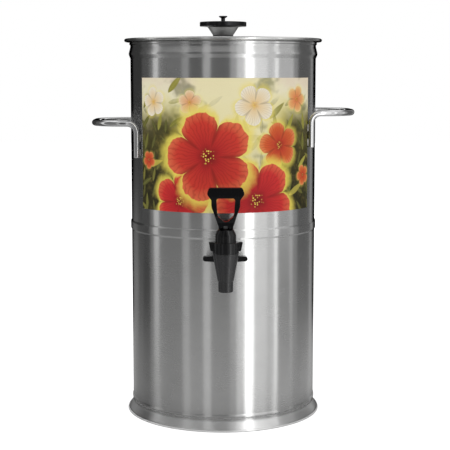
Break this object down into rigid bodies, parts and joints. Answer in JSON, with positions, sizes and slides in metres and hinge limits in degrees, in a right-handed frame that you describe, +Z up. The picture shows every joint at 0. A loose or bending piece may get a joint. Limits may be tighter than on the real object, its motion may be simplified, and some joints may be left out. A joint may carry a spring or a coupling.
{
  "type": "tea dispenser",
  "caption": "Tall steel tea dispenser: cylindrical tank with a lift-off lid, rod side handles, a wrapped front label and a self-closing loop-handled tap.",
  "frame": {"origin": "on the tank's axis, in the plane of the base hem that it stands on", "axes": "+Z up along the tank's axis, the tap towards -Y, the side handles along X"},
  "size_m": [0.341, 0.3071, 0.5188],
  "materials": {
    "tank_steel": "satin, fine grain around the tank",
    "lid_steel": "satin, fine grain around the lid",
    "polished_rod": "polished rod",
    "knob_metal": "turned, with fine rings",
    "fastener_steel": "bright drawn steel",
    "printed_label": null,
    "black_plastic": "moulded, satin gloss",
    "handle_plastic": "moulded, satin gloss",
    "black_rubber": "moulded, matt",
    "cup_rubber": "translucent silicone, matt"
  },
  "bodies": {
    "root": {"tank_shell": "tank_steel", "tank_bottom": "tank_steel", "front_label": "printed_label", "left_handle": "polished_rod", "right_handle": "polished_rod", "shank": "black_plastic", "outer_gasket": "black_rubber", "inner_gasket": "black_rubber", "shank_washer": "fastener_steel", "shank_nut": "black_plastic", "seat_washer": "black_rubber", "wing_nut": "black_plastic", "retaining_ring": "black_plastic", "tap_body": "black_plastic", "tap_bonnet": "black_plastic"},
    "lid": {"lid_plate": "lid_steel", "lid_knob": "knob_metal", "knob_gasket": "black_rubber", "knob_washer": "fastener_steel", "knob_nut": "fastener_steel"},
    "plug": {"vent_plug": "knob_metal"},
    "stem": {"valve_stem": "fastener_steel", "seat_cup": "cup_rubber", "closing_spring": "fastener_steel"},
    "handle": {"tap_handle": "handle_plastic", "handle_pin": "fastener_steel"}
  },
  "joints": [
    {"name": "lid_lift", "type": "slide", "parent": "root", "child": "lid", "axis": [0, 0, 1], "range_m": [0, 0.15]},
    {"name": "plug_lift", "type": "slide", "parent": "lid", "child": "plug", "axis": [0, 0, 1], "range_m": [0, 0.03]},
    {"name": "stem_lift", "type": "slide", "parent": "root", "child": "stem", "axis": [0, 0, 1], "range_m": [0, 0.00503], "deforming": ["closing_spring", "seat_cup"]},
    {"name": "handle_tilt", "type": "hinge", "parent": "stem", "child": "handle", "pos_m": [0, -0.16265, 0.266], "axis": [1, 0, 0], "range_deg": [0, 45], "stiffness_Nm_per_rad": 0.0246, "springref_deg": -89.52}
  ],
  "couplings": [
    {"joint": "handle_tilt", "follows": "stem_lift", "rad_per_m": 156.25}
  ]
}
